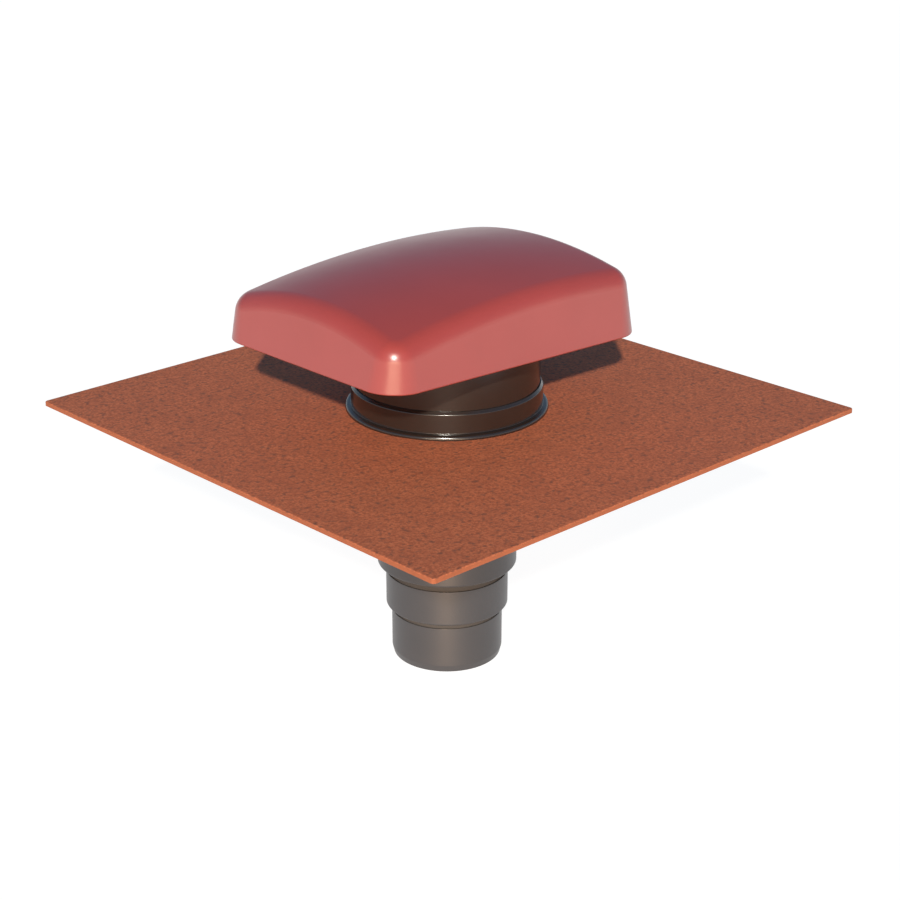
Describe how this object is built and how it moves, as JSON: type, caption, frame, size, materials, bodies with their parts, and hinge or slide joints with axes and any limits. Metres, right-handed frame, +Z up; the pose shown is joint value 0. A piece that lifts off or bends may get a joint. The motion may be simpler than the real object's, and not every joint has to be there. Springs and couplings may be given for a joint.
{
  "type": "roof tile vent",
  "caption": "Roof vent terminal: crowned rain hood on a tube through a square flashing sheet, with a stepped duct connector below the roof.",
  "frame": {"origin": "on the tube's axis at the underside of the flashing sheet, the plane that lies on the roof", "axes": "+Z up out of the roof along the tube's axis, +X along the hood's long side towards the end where its skirt hangs lower"},
  "size_m": [0.5, 0.5, 0.375],
  "materials": {
    "hood_red": "satin",
    "vent_black": "satin",
    "terracotta_sheet": "matt",
    "connector_black": "satin",
    "seal_rubber": "matt",
    "screw_steel": "brushed"
  },
  "bodies": {
    "root": {"hood": "hood_red", "vent_tube": "vent_black", "flashing_collar": "vent_black", "flashing_sheet": "terracotta_sheet", "stepped_connector": "connector_black", "hood_screws": "screw_steel", "insect_grille": "vent_black", "collar_seal": "seal_rubber", "connector_seal": "seal_rubber"}
  },
  "joints": []
}
